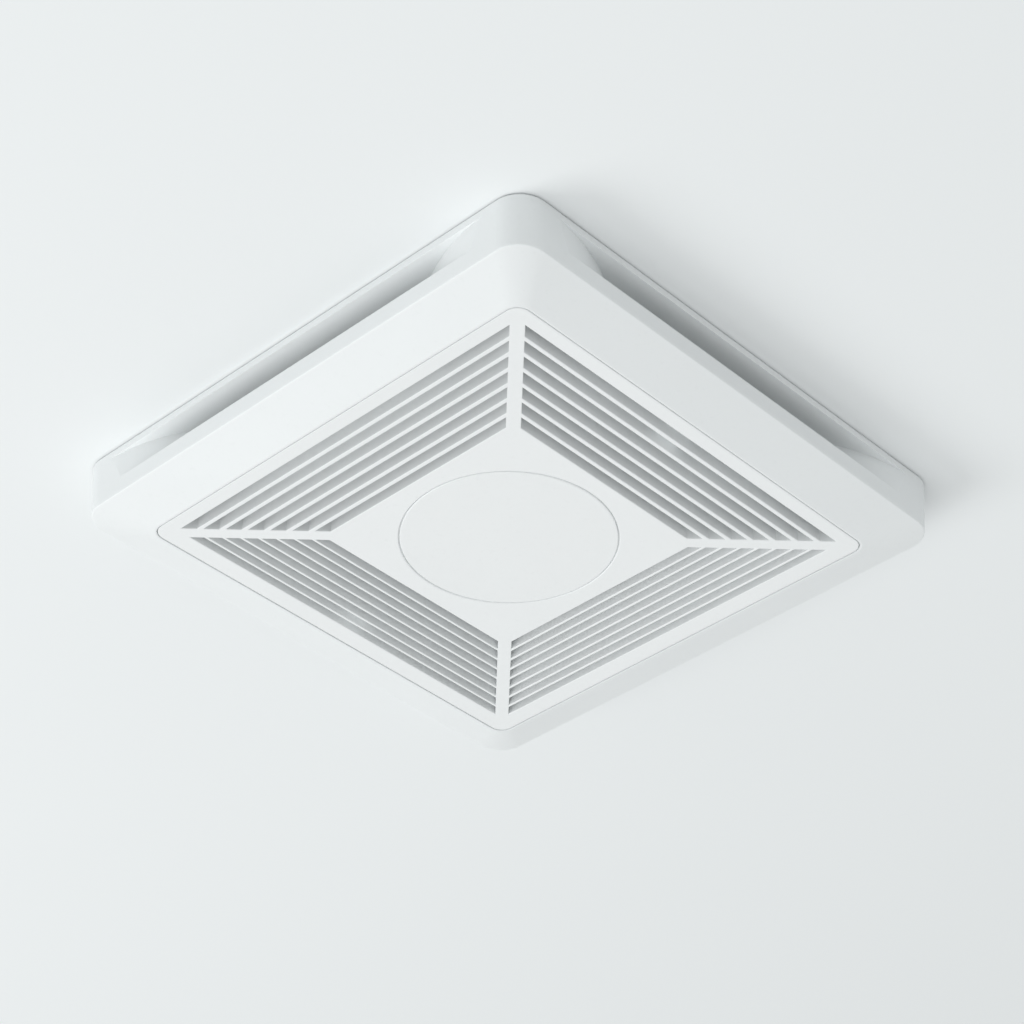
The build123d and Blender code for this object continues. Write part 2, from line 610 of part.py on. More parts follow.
def scroll_outline():
    """Inside of the scroll in plan: three growing arcs and a straight outlet."""
    first, second, third = scroll_arcs()
    tongue_x, tongue_y = polar(first[1], TONGUE_ANGLE)
    tongue = (first[0][0] + tongue_x, first[0][1] + tongue_y)
    top = (first[0][0], first[0][1] + first[1])
    mid_x, mid_y = polar(first[1], 20)
    left = (second[0][0] - second[1], second[0][1])
    left_x, left_y = polar(second[1], 135)
    bottom = (third[0][0], third[0][1] - third[1])
    low_x, low_y = polar(third[1], 225)
    outlet_x = BOX_INNER
    outlet_y = SPIGOT_Y + SPIGOT_R - SPIGOT_WALL + 1
    edges = [
        ThreePointArc(tongue, (first[0][0] + mid_x, first[0][1] + mid_y), top),
        ThreePointArc(top, (second[0][0] + left_x, second[0][1] + left_y), left),
        ThreePointArc(left, (third[0][0] + low_x, third[0][1] + low_y), bottom),
        Line(bottom, (outlet_x, bottom[1])),
        Line((outlet_x, bottom[1]), (outlet_x, outlet_y)),
        Line((outlet_x, outlet_y), tongue),
    ]
    return make_face(edges)


def scroll_grown(amount):
    """Scroll outline grown outwards, but never past the box's wall."""
    grown = offset(scroll_outline(), amount, kind=Kind.INTERSECTION)
    return grown & Rectangle(2 * BOX_INNER, 2 * BOX_INNER)


def inlet_screw_places():
    first, second, third = scroll_arcs()
    gap = SHEET + SCROLL_FLANGE / 2 + 0.2
    places = []
    for (centre, radius), angles in ((first, (-10, 55)), (second, (125, 170)), (third, (215, 262))):
        for angle in angles:
            x, y = polar(radius + gap, angle)
            places.append((centre[0] + x, centre[1] + y))
    return places


def scroll_casing():
    inside = scroll_outline()
    wall = extrude(Pos(0, 0, SCROLL_Z0) * (scroll_grown(SHEET) - inside), SCROLL_Z1 - SCROLL_Z0)
    flange = extrude(Pos(0, 0, SCROLL_Z0) * (scroll_grown(SHEET + SCROLL_FLANGE) - inside), SHEET)
    body = wall + flange
    for x, y in inlet_screw_places():
        body -= rod(1.25 + SCREW_CLEARANCE, SCROLL_Z0 - 1, SCROLL_Z0 + SHEET + 1, x, y)
    body -= lead_grommet_place() * Cylinder(GROMMET_NECK_R, 20)
    return body


def scroll_lid():
    """Top plate of the scroll, under the box's top."""
    body = extrude(Pos(0, 0, SCROLL_Z1) * scroll_grown(SHEET), SHEET)
    for x, y in motor_screw_places():
        body -= rod(2.0 + SCREW_CLEARANCE, SCROLL_Z1 - 1, Z_LID + 1, x, y)
    for x, y in top_screw_places():
        body -= rod(1.5 + SCREW_CLEARANCE, SCROLL_Z1 - 1, Z_LID + 1, x, y)
    return body


def scroll_base():
    """Bottom plate of the scroll, with the hole for the inlet ring."""
    body = extrude(Pos(0, 0, SCROLL_Z0 - SHEET) * scroll_grown(SHEET + SCROLL_FLANGE), SHEET)
    body -= rod(THROAT_R + BELL_R + SHEET, 0, SCROLL_Z0 + 1)
    for x, y in inlet_screw_places():
        body -= rod(1.25 + SCREW_CLEARANCE, SCROLL_Z0 - SHEET - 1, SCROLL_Z0 + 1, x, y)
    return body


def inlet_ring():
    """Bell mouth turned up from the scroll's bottom plate into the wheel."""
    outer_r = BELL_R + SHEET
    x, z = THROAT_R + outer_r, SCROLL_Z0 + BELL_R
    bend = math.cos(math.radians(45))
    section = make_face([
        Line((x, z - outer_r), (x, z - BELL_R)),
        ThreePointArc((x, z - BELL_R), (x - BELL_R * bend, z - BELL_R * bend), (x - BELL_R, z)),
        Line((x - BELL_R, z), (x - outer_r, z)),
        ThreePointArc((x - outer_r, z), (x - outer_r * bend, z - outer_r * bend), (x, z - outer_r)),
    ])
    return revolve(Plane.XZ * section, Axis.Z)


def inlet_screws():
    screw = pan_screw(1.25, 2 * SHEET + 2.0, 2.6, 1.4)
    return group([Pos(x, y, SCROLL_Z0 - SHEET) * screw for x, y in inlet_screw_places()])


# ---- Wheel and motor ------------------------------------------------------------------

def impeller_blades():
    """Forward-curved blades between the wheel's ring and its back plate."""
    bow = 7.0
    inner = (BLADE_INNER_R, 0.0)
    outer = (WHEEL_R - 1.0, 5.0)
    middle = ((inner[0] + outer[0]) / 2 + 0.9, (inner[1] + outer[1]) / 2 - bow / 4)
    shape = trace(ThreePointArc(inner, middle, outer), BLADE_T)
    z_low = WHEEL_Z0 + WHEEL_RING_T
    blade = extrude(Pos(0, 0, z_low) * shape, WHEEL_Z1 - DISH_T - z_low)
    return group([Rot(0, 0, 360 / BLADE_COUNT * index) * blade for index in range(BLADE_COUNT)])


def impeller_ring():
    return ring(WHEEL_R, BLADE_INNER_R - 1, WHEEL_Z0, WHEEL_Z0 + WHEEL_RING_T)


def impeller():
    """Back plate of the wheel, dished down round the motor to the hub."""
    body = ring(WHEEL_R, DISH_R - DISH_T, WHEEL_Z1 - DISH_T, WHEEL_Z1)
    body += ring(DISH_R, DISH_R - DISH_T, HUB_Z1 - DISH_T, WHEEL_Z1)
    body += rod(DISH_R, HUB_Z1 - DISH_T, HUB_Z1)
    body += rod(HUB_R, HUB_Z0, HUB_Z1)
    for index in range(6):
        web = block(HUB_R - 1, DISH_R - 6, -1, 1, HUB_Z1 - DISH_T - 4, HUB_Z1 - DISH_T + 0.5)
        body += Rot(0, 0, 60 * index) * web
    return body - rod(SHAFT_R, HUB_Z0 - 1, HUB_Z1 + 1)


def motor_shaft():
    shaft = rod(SHAFT_R, HUB_Z0, MOTOR_Z1 - 3)
    return shaft + rod(SHAFT_R - 1, SHAFT_Z0, HUB_Z0 + 1)


def impeller_nut():
    outline = Pos(0, 0, NUT_Z0) * RegularPolygon(6.0, 6)
    return extrude(outline, HUB_Z0 - NUT_Z0) - rod(SHAFT_R - 1, NUT_Z0 - 1, HUB_Z0 + 1)


def rotor_core():
    return ring(ROTOR_R, SHAFT_R, CORE_Z0, CORE_Z1)


def bearing(z_low):
    body = ring(BEARING_R, SHAFT_R + RUNNING_FIT, z_low, z_low + BEARING_H)
    groove = ring(BEARING_R - 2, SHAFT_R + 2.0, z_low - 1, z_low + 0.5)
    return body - groove - Pos(0, 0, BEARING_H) * groove.moved(Location((0, 0, 0.5)))


def end_cap(z_low, flip):
    """Cast end cap with a bearing seat, cooling slots and three screw bosses."""
    z_high = z_low + CAP_T
    body = rod(MOTOR_R, z_low, z_high)
    edge = body.edges().group_by(Axis.Z)[0 if flip else -1]
    body = fillet(edge, 3.0)
    if flip:
        body -= rod(MOTOR_R - 3, z_low + 3, z_high + 1)
        body += rod(BEARING_R + 2.5, z_low, z_high)
        body -= rod(BEARING_R, z_low + BEARING_SEAT, z_high + 1)
    else:
        body -= rod(MOTOR_R - 3, z_low - 1, z_high - 3)
        body += rod(BEARING_R + 2.5, z_low, z_high)
        body -= rod(BEARING_R, z_low - 1, z_high - BEARING_SEAT)
    body -= rod(SHAFT_R + 2, z_low - 1, z_high + 1)
    for index in range(12):
        vent = block(18, 27, -1.6, 1.6, z_low - 1, z_high + 1)
        body -= Rot(0, 0, 30 * index + 15) * vent
    if not flip:
        for x, y in motor_screw_places():
            body += rod(5.0, z_low, z_high, x, y)
            body -= rod(2.0, z_low - 1, z_high + 1, x, y)
    return body


def motor_can():
    z_low = MOTOR_Z0 + CAP_T
    z_high = MOTOR_Z1 - CAP_T
    body = ring(MOTOR_R, MOTOR_R - 2, z_low, z_high)
    for index in range(24):
        fin = block(MOTOR_R - 0.5, MOTOR_R + 1.2, -0.8, 0.8, z_low + 2, z_high - 2)
        body += Rot(0, 0, 15 * index) * fin
    return body


def stator_core():
    body = ring(MOTOR_R - 2, ROTOR_R + AIR_GAP, CORE_Z0, CORE_Z1)
    for index in range(12):
        pocket = Pos(ROTOR_R + AIR_GAP + 6.5, 0, (CORE_Z0 + CORE_Z1) / 2)
        body -= Rot(0, 0, 30 * index) * pocket * Box(8, 4.5, CORE_Z1 - CORE_Z0 + 2)
    return body


def stator_windings():
    """Copper end turns above and below the core."""
    bundle_r = 1.9
    mean_r = ROTOR_R + AIR_GAP + 6.5
    pieces = []
    for z in (CORE_Z0 - bundle_r, CORE_Z1 + bundle_r):
        flat = Pos(0, 0, z) * Torus(mean_r, bundle_r)
        band = ring(mean_r + 3.4, mean_r - 3.4, z - bundle_r * 0.7, z + bundle_r * 0.7)
        pieces.append(flat + band)
    return group(pieces)


def rubber_mounts():
    pieces = []
    for x, y in motor_screw_places():
        bush = ring(6.0, 2.0 + SCREW_CLEARANCE, MOTOR_Z1, SCROLL_Z1, x, y)
        waist = ring(7.0, 4.8, MOTOR_Z1 + 2.2, SCROLL_Z1 - 2.2, x, y)
        pieces.append(bush - waist)
    return group(pieces)


def motor_screws():
    screw = Rot(180, 0, 0) * pan_screw(2.0, BOX_H - MOTOR_Z1 + CAP_T, 4.2, 2.4)
    return group([Pos(x, y, BOX_H) * screw for x, y in motor_screw_places()])


# ---- Wiring -----------------------------------------------------------------------------

def lead_grommet_place():
    """Frame of the grommet: its z axis runs along the lead through the scroll's wall."""
    second = scroll_arcs()[1]
    x, y = polar(second[1] + SHEET / 2, 135)
    y += second[0][1]
    return Pos(x, y, LEAD_Z) * Rot(0, 0, 135) * Rot(0, 90, 0)


def lead_line():
    """Points of the motor leads: straight out through the wall, then down."""
    along = lead_grommet_place().position
    direction = Vector(-1, 1, 0).normalized()
    start = along - direction * (math.hypot(along.X, along.Y) - LEAD_START_R)
    drop_x = TERMINAL_X
    reach = (drop_x - along.X) / direction.X
    corner = along + direction * reach
    end = Vector(corner.X, corner.Y, TERMINAL_Z0 + TERMINAL_BOX_H)
    return start, corner, end


def motor_leads():
    start, corner, end = lead_line()
    path = FilletPolyline(start, corner, end, radius=LEAD_BEND_R)
    section = Plane(origin=start, z_dir=(corner - start).normalized()) * Circle(LEAD_R)
    return sweep(section, path=path)


def lead_grommet():
    body = Cylinder(GROMMET_NECK_R - 0.05, SHEET + 3.0)
    for side in (-1, 1):
        body += Pos(0, 0, side * (SHEET / 2 + 0.9)) * Cylinder(GROMMET_NECK_R + 1.2, 1.4)
    body -= Cylinder(LEAD_R + 0.05, 12)
    return lead_grommet_place() * body


def terminal_box():
    half = TERMINAL_BOX_SIDE / 2
    z_high = TERMINAL_Z0 + TERMINAL_BOX_H
    body = slab(TERMINAL_BOX_SIDE, TERMINAL_BOX_SIDE, 3, TERMINAL_Z0, z_high, TERMINAL_X, TERMINAL_Y)
    inner = TERMINAL_BOX_SIDE - 2 * TERMINAL_WALL
    body -= slab(inner, inner, 1.5, TERMINAL_Z0 - 1, z_high - TERMINAL_WALL, TERMINAL_X, TERMINAL_Y)
    for sign in (-1, 1):
        x = TERMINAL_X + sign * (half - 4)
        y = TERMINAL_Y + sign * (half - 4)
        body += rod(3, TERMINAL_Z0, z_high - 1, x, y)
        body -= rod(1.25, TERMINAL_Z0 - 1, TERMINAL_Z0 + 8, x, y)
    hole = Pos(TERMINAL_X - half, TERMINAL_Y, GLAND_Z) * Rot(0, 90, 0) * Cylinder(GLAND_THREAD_R + 0.1, 8)
    lead_x, lead_y = lead_line()[2].X, lead_line()[2].Y
    return body - hole - rod(LEAD_R + 0.1, z_high - 4, z_high + 1, lead_x, lead_y)


def cover_screw_places():
    half = TERMINAL_BOX_SIDE / 2 - 4
    return [(TERMINAL_X + sign * half, TERMINAL_Y + sign * half) for sign in (-1, 1)]


def terminal_cover():
    z_low = TERMINAL_Z0 - TERMINAL_COVER_T
    body = slab(TERMINAL_BOX_SIDE, TERMINAL_BOX_SIDE, 3, z_low, TERMINAL_Z0, TERMINAL_X, TERMINAL_Y)
    low_edges = body.edges().group_by(Axis.Z)[0]
    body = fillet(low_edges, 0.8)
    for x, y in cover_screw_places():
        body -= rod(1.25 + SCREW_CLEARANCE, TERMINAL_Z0 - 4, TERMINAL_Z0 + 1, x, y)
    return body


def cover_screws():
    screw = pan_screw(1.25, 8.0, 2.5, 1.3)
    return group([Pos(x, y, TERMINAL_Z0 - TERMINAL_COVER_T) * screw for x, y in cover_screw_places()])


def terminal_block():
    z_high = TERMINAL_Z0 + TERMINAL_BOX_H - TERMINAL_WALL
    body = block(TERMINAL_X - 2, TERMINAL_X + 10, TERMINAL_Y - 12, TERMINAL_Y + 6, z_high - 12, z_high)
    for index in range(3):
        y = TERMINAL_Y - 9 + 6 * index
        body -= rod(1.8, z_high - 13, z_high - 8, TERMINAL_X + 1.5, y)
        body -= rod(1.8, z_high - 13, z_high - 8, TERMINAL_X + 6.5, y)
    return body


def cable_gland():
    """Gland body through the -X wall, its axis along X, with a domed cap outside."""
    wall_x = -SPIGOT_X
    inner_x = TERMINAL_X - TERMINAL_BOX_SIDE / 2 + TERMINAL_WALL + 6
    thread = Cylinder(GLAND_THREAD_R, inner_x - wall_x)
    body = Pos((inner_x + wall_x) / 2, 0, 0) * Rot(0, 90, 0) * thread
    hexagon = extrude(Plane.YZ * RegularPolygon(11.5, 6), -5)
    body += Pos(wall_x, 0, 0) * hexagon
    cap = Pos(wall_x - 10, 0, 0) * Rot(0, 90, 0) * Cylinder(9.6, 10)
    tip = cap.edges().filter_by(GeomType.CIRCLE).group_by(Axis.X)[0]
    body += fillet(tip, 4.0)
    for index in range(12):
        flute = Pos(wall_x - 9, 10.4, 0) * Rot(0, 90, 0) * Cylinder(1.3, 8)
        body -= Rot(30 * index, 0, 0) * flute
    body = Pos(0, TERMINAL_Y, GLAND_Z) * body
    bore = Rot(0, 90, 0) * Cylinder(GLAND_BORE_R, 80)
    return body - Pos(wall_x, TERMINAL_Y, GLAND_Z) * bore


def gland_nut():
    x = TERMINAL_X - TERMINAL_BOX_SIDE / 2 + TERMINAL_WALL
    nut = extrude(Plane.YZ * RegularPolygon(11.0, 6), 4)
    nut = Pos(x, TERMINAL_Y, GLAND_Z) * nut
    return nut - Pos(x, TERMINAL_Y, GLAND_Z) * Rot(0, 90, 0) * Cylinder(GLAND_THREAD_R + 0.05, 20)


def cap_screw_places():
    return [(CAP_X, CAP_Z - CAP_W / 2 - 6), (CAP_X, CAP_Z + CAP_W / 2 + 6)]


def capacitor():
    """Motor capacitor against the box's +Y wall."""
    y = BOX_INNER - CAP_D / 2
    body = Pos(CAP_X, y, CAP_Z) * Box(CAP_L, CAP_D, CAP_W)
    return fillet(body.edges(), 1.2)


def capacitor_clip():
    """Strap over the capacitor with an ear above and below."""
    y_inner = BOX_INNER - CAP_D - CLIP_GAP
    half = CAP_W / 2 + CLIP_GAP
    side = CLIP_W / 2
    z_reach = half + CLIP_T
    body = block(CAP_X - side, CAP_X + side, y_inner - CLIP_T, BOX_INNER, CAP_Z - z_reach, CAP_Z + z_reach)
    for x, z in cap_screw_places():
        body += block(x - side, x + side, BOX_INNER - CLIP_T, BOX_INNER, z - side + 0.1, z + side - 0.1)
        body -= Pos(x, BOX_INNER, z) * Rot(90, 0, 0) * Cylinder(1.5 + SCREW_CLEARANCE, 6)
    return body - block(CAP_X - CLIP_W, CAP_X + CLIP_W, y_inner, BOX_INNER + 1, CAP_Z - half, CAP_Z + half)


def bracket_screws():
    """Screws of the two spring brackets and of the capacitor clip."""
    pieces = []
    screw = pan_screw(1.5, BOX_WALL + 1.5 + 0.9, 2.8, 1.4)
    for side in (-1, 1):
        for x in bracket_screw_places():
            spot = Pos(x, side * (BOX_INNER - 0.9), BRACKET_Z + 10)
            pieces.append(spot * Rot(-90 * side, 0, 0) * screw)
    for x, z in cap_screw_places():
        pieces.append(Pos(x, BOX_INNER - 1.0, z) * Rot(-90, 0, 0) * screw)
    return group(pieces)


# ---- Duct spigot and damper -------------------------------------------------------------

def along_duct(shape):
    """Place a shape built along +Z so that it points along the duct from the flange."""
    return Pos(SPIGOT_X, SPIGOT_Y, SPIGOT_Z) * Rot(0, 90, 0) * shape


def duct_spigot():
    bore = SPIGOT_R - SPIGOT_WALL
    flange = slab(SPIGOT_FLANGE_SIDE, SPIGOT_FLANGE_SIDE, 6, 0, SPIGOT_FLANGE_T)
    body = flange + rod(SPIGOT_R, 0, SPIGOT_L)
    body -= rod(bore, -1, SPIGOT_L + 1)
    end = body.edges().filter_by_position(Axis.Z, SPIGOT_L - 0.01, SPIGOT_L + 0.01)
    body = fillet(end, 1.0)
    stop_z = DAMPER_X - LEAF_T / 2 - 0.3
    body += ring(bore + 0.5, bore - 1.6, stop_z - 2, stop_z)
    pin_hole = Pos(0, 0, DAMPER_X) * Rot(0, 90, 0) * Cylinder(DAMPER_PIN_R, 2 * SPIGOT_R + 10)
    body -= pin_hole
    reach = SPIGOT_FLANGE_SIDE / 2 - 6.5
    for x in (-reach, reach):
        for y in (-reach, reach):
            body -= rod(1.5 + SCREW_CLEARANCE, -1, SPIGOT_FLANGE_T + 1, x, y)
    return along_duct(body)


def damper_pin():
    pin = Cylinder(DAMPER_PIN_R, 2 * SPIGOT_R - 0.4)
    return Pos(SPIGOT_X + DAMPER_X, SPIGOT_Y, SPIGOT_Z) * pin


def damper_leaf(side):
    """Half-round leaf on the +Y (1) or -Y (-1) side of the pin, shut across the duct."""
    leaf_r = SPIGOT_R - SPIGOT_WALL - LEAF_CLEARANCE
    disc = Rot(0, 90, 0) * Cylinder(leaf_r, LEAF_T)
    half = block(-LEAF_T, LEAF_T, 0, leaf_r + 1, -leaf_r - 1, leaf_r + 1)
    if side < 0:
        half = mirror(half, Plane.XZ)
    blade = disc & half
    blade -= Cylinder(KNUCKLE_R + 0.4, 2 * leaf_r)
    total = 2 * (leaf_r - SPRING_ROOM)
    each = total / LEAF_KNUCKLES
    arm = KNUCKLE_R + 1.2
    for index in range(LEAF_KNUCKLES):
        own = (index % 2 == 0) == (side > 0)
        if own:
            z_low = -total / 2 + index * each + 0.2
            z_high = z_low + each - 0.4
            blade += rod(KNUCKLE_R, z_low, z_high)
            link = block(-LEAF_T / 2, LEAF_T / 2, 0, arm, z_low, z_high)
            blade += link if side > 0 else mirror(link, Plane.XZ)
    for level in (-14, 14):
        rib_x = LEAF_T / 2
        rib = block(rib_x - 0.2, rib_x + 1.4, KNUCKLE_R + 6, leaf_r * 0.82, level - 0.7, level + 0.7)
        blade += rib if side > 0 else mirror(rib, Plane.XZ)
    blade -= Cylinder(DAMPER_PIN_R + RUNNING_FIT, 2 * leaf_r + 4)
    return Pos(SPIGOT_X + DAMPER_X, SPIGOT_Y, SPIGOT_Z) * blade


def damper_spring():
    """Light closing spring on the pin above the leaves' knuckles, as stacked turns."""
    wire_r = 0.4
    mean_r = DAMPER_PIN_R + 0.1 + wire_r
    top = SPIGOT_R - SPIGOT_WALL - LEAF_CLEARANCE - SPRING_ROOM
    body = ring(mean_r + 0.15, mean_r - 0.15, top + 0.2, top + 0.2 + 8 * wire_r)
    for index in range(4):
        body += Pos(0, 0, top + 0.2 + wire_r + index * 2 * wire_r) * Torus(mean_r, wire_r)
    return Pos(SPIGOT_X + DAMPER_X, SPIGOT_Y, SPIGOT_Z) * body


def spigot_screws():
    screw = Rot(180, 0, 0) * pan_screw(1.5, SPIGOT_FLANGE_T + BOX_WALL - 0.2, 3.0, 1.6)
    pieces = []
    for y, z in spigot_screw_places():
        pieces.append(Pos(SPIGOT_X + SPIGOT_FLANGE_T, y, z) * Rot(0, 90, 0) * screw)
    return group(pieces)


# ---- All nodes --------------------------------------------------------------------------

def build_nodes():
    coil = spring_coil()
    bracket = spring_bracket()
    nodes = {
        "fascia_frame": fascia_frame(),
        "ceiling_gasket": ceiling_gasket(),
        "frame_screws": frame_screws(),
        "housing_screws": housing_screws(),
        "scroll_casing": scroll_casing(),
        "scroll_lid": scroll_lid(),
        "scroll_base": scroll_base(),
        "inlet_ring": inlet_ring(),
        "inlet_screws": inlet_screws(),
        "motor_can": motor_can(),
        "upper_end_cap": end_cap(MOTOR_Z1 - CAP_T, False),
        "lower_end_cap": end_cap(MOTOR_Z0, True),
        "upper_bearing": bearing(MOTOR_Z1 - BEARING_SEAT - BEARING_H),
        "lower_bearing": bearing(MOTOR_Z0 + BEARING_SEAT),
        "stator_core": stator_core(),
        "stator_windings": stator_windings(),
        "rubber_mounts": rubber_mounts(),
        "motor_screws": motor_screws(),
        "motor_leads": motor_leads(),
        "lead_grommet": lead_grommet(),
        "terminal_box": terminal_box(),
        "terminal_cover": terminal_cover(),
        "cover_screws": cover_screws(),
        "terminal_block": terminal_block(),
        "cable_gland": cable_gland(),
        "gland_nut": gland_nut(),
        "capacitor": capacitor(),
        "capacitor_clip": capacitor_clip(),
        "spring_bracket_front": bracket,
        "spring_bracket_back": mirror(bracket, Plane.XZ),
        "bracket_screws": bracket_screws(),
        "duct_spigot": duct_spigot(),
        "damper_pin": damper_pin(),
        "damper_spring": damper_spring(),
        "spigot_screws": spigot_screws(),
        "damper_leaf_a": damper_leaf(1),
        "damper_leaf_b": damper_leaf(-1),
        "impeller": impeller(),
        "impeller_blades": impeller_blades(),
        "impeller_ring": impeller_ring(),
        "motor_shaft": motor_shaft(),
        "rotor_core": rotor_core(),
        "impeller_nut": impeller_nut(),
        "grille_panel": grille_panel(),
        "centre_disc": centre_disc(),
        "spring_coil_front": coil,
        "spring_coil_back": mirror(coil, Plane.XZ),
    }
    nodes.update(housing_panels())
    for name, side in (("right", 1), ("left", -1)):
        leg = spring_leg(side)
        nodes["spring_leg_front_" + name] = leg
        nodes["spring_leg_back_" + name] = mirror(leg, Plane.XZ)
    return nodes


os.makedirs("parts", exist_ok=True)
for node_name, node_shape in build_nodes().items():
    export_step(node_shape, "parts/" + node_name + ".step")
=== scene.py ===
import bpy
import json
import math
from mathutils import Matrix, Vector


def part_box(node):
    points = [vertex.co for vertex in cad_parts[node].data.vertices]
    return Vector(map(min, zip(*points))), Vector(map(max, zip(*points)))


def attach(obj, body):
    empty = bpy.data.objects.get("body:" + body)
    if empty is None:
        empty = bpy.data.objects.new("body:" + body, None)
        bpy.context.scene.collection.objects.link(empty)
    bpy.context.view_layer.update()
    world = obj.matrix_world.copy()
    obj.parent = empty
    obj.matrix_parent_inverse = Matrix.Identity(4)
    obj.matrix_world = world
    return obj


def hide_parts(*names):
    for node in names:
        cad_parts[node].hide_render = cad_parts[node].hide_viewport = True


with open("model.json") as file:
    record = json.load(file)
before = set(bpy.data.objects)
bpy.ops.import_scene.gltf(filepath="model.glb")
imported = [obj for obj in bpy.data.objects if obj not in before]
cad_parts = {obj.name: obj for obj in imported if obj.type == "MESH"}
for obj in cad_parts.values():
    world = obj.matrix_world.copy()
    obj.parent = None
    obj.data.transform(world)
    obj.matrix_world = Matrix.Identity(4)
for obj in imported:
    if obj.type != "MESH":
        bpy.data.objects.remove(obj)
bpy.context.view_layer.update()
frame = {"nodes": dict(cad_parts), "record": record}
nodes = frame["nodes"]

SUBSURFACE_WEIGHT = 0.25        # how much light the white plastic lets in
SUBSURFACE_DEPTH = 0.0015       # and how deep, in metres
SHADE_AND_DUST_Z = -0.0345                # level inside the grille's slots at which the painted shade, with a little dust, starts
SHADE_AND_DUST_RISE = 0.006               # height over which that painted shade builds up
COIL_WIRE_R = 0.0009            # wire of the grille springs, as in their CAD solids
DAMPER_WIRE_R = 0.0004
COIL_STEPS, WIRE_SIDES = 28, 10     # facets of a coil's turn and of its wire
CEILING_HALF = 6.0              # centre of the ceiling to its edge
CEILING_HOLE_HALF = 0.1445      # centre to the edge of its hole, under the foam strip
LIGHT_TINT = (0.985, 1.0, 1.0)
WORLD_COLOUR = (0.975, 1.0, 1.0, 1)
WORLD_STRENGTH = 0.50


# ---- Material building blocks -------------------------------------------------------

class Tree:
    """A material's node tree with short calls to add and join nodes."""

    def __init__(self, name):
        self.material = bpy.data.materials.new(name)
        self.material.use_nodes = True
        self.tree = self.material.node_tree
        self.shader = self.tree.nodes["Principled BSDF"]
        coords = self.tree.nodes.new("ShaderNodeTexCoord")
        self.place = coords.outputs["Object"]

    def put(self, socket, value):
        if isinstance(value, bpy.types.NodeSocket):
            self.tree.links.new(value, socket)
        else:
            socket.default_value = value

    def noise(self, scale, detail=3.0, rough=0.5, stretch=(1, 1, 1)):
        mapping = self.tree.nodes.new("ShaderNodeMapping")
        mapping.inputs["Scale"].default_value = stretch
        self.put(mapping.inputs["Vector"], self.place)
        node = self.tree.nodes.new("ShaderNodeTexNoise")
        self.put(node.inputs["Vector"], mapping.outputs["Vector"])
        node.inputs["Scale"].default_value = scale
        node.inputs["Detail"].default_value = detail
        node.inputs["Roughness"].default_value = rough
        return node.outputs["Fac"]

    def cells(self, scale):
        node = self.tree.nodes.new("ShaderNodeTexVoronoi")
        node.inputs["Scale"].default_value = scale
        self.put(node.inputs["Vector"], self.place)
        return node

    def span(self, value, low, high, to_low=0.0, to_high=1.0):
        node = self.tree.nodes.new("ShaderNodeMapRange")
        node.inputs["From Min"].default_value = low
        node.inputs["From Max"].default_value = high
        node.inputs["To Min"].default_value = to_low
        node.inputs["To Max"].default_value = to_high
        self.put(node.inputs["Value"], value)
        return node.outputs["Result"]

    def maths(self, operation, a, b=0.0):
        node = self.tree.nodes.new("ShaderNodeMath")
        node.operation = operation
        self.put(node.inputs[0], a)
        self.put(node.inputs[1], b)
        return node.outputs[0]

    def axis(self, letter):
        node = self.tree.nodes.new("ShaderNodeSeparateXYZ")
        self.put(node.inputs[0], self.place)
        return node.outputs[letter]

    def mix(self, amount, first, second):
        node = self.tree.nodes.new("ShaderNodeMix")
        node.data_type = "RGBA"
        self.put(node.inputs[0], amount)
        self.put(node.inputs[6], rgba(first))
        self.put(node.inputs[7], rgba(second))
        return node.outputs[2]

    def bump(self, height, strength, distance, under=None):
        node = self.tree.nodes.new("ShaderNodeBump")
        node.inputs["Strength"].default_value = strength
        node.inputs["Distance"].default_value = distance
        self.put(node.inputs["Height"], height)
        if under is not None:
            self.put(node.inputs["Normal"], under)
        return node.outputs["Normal"]

    def done(self, colour, rough, normal, metallic=0.0):
        self.put(self.shader.inputs["Base Color"], rgba(colour))
        self.put(self.shader.inputs["Roughness"], rough)
        self.put(self.shader.inputs["Normal"], normal)
        self.shader.inputs["Metallic"].default_value = metallic
        return self.material


def rgba(colour):
    if isinstance(colour, bpy.types.NodeSocket):
        return colour
    return (*colour, 1.0)


def shade(colour, factor):
    return tuple(channel * factor for channel in colour)


# ---- Materials ----------------------------------------------------------------------

def white_plastic(name, colour, rough, dust_and_shade=False):
    """Moulded white plastic: fine grain, cloudy tone and, in the slots, painted shade with a
    little dust, darker deeper in.
    """
    t = Tree(name)
    cloud = t.noise(9, 4)
    speck = t.noise(420, 2)
    tone = t.mix(t.span(cloud, 0.3, 0.7), shade(colour, 0.985), colour)
    tone = t.mix(t.span(speck, 0.60, 0.78, 0, 0.35), tone, shade(colour, 0.93))
    if dust_and_shade:
        # painted shade with a little dust: the plastic turns darker and greyer deeper inside the
        # grille's slots
        depth = t.span(t.axis("Z"), SHADE_AND_DUST_Z, SHADE_AND_DUST_Z + SHADE_AND_DUST_RISE)
        dust_and_shade_film = t.maths("MULTIPLY", depth, t.span(t.noise(150, 4), 0.35, 0.75, 0.0, 0.03))
        tone = t.mix(dust_and_shade_film, tone, (0.62, 0.61, 0.58))
    finish = t.span(t.noise(38, 3), 0.3, 0.7, rough - 0.05, rough + 0.06)
    grain = t.bump(t.noise(2600, 2), 0.10, 0.00006)
    swell = t.bump(t.noise(14, 1), 0.10, 0.0006, grain)
    t.shader.inputs["Subsurface Weight"].default_value = SUBSURFACE_WEIGHT
    t.shader.inputs["Subsurface Radius"].default_value = (1.0, 1.0, 1.0)
    t.shader.inputs["Subsurface Scale"].default_value = SUBSURFACE_DEPTH
    return t.done(tone, finish, swell)


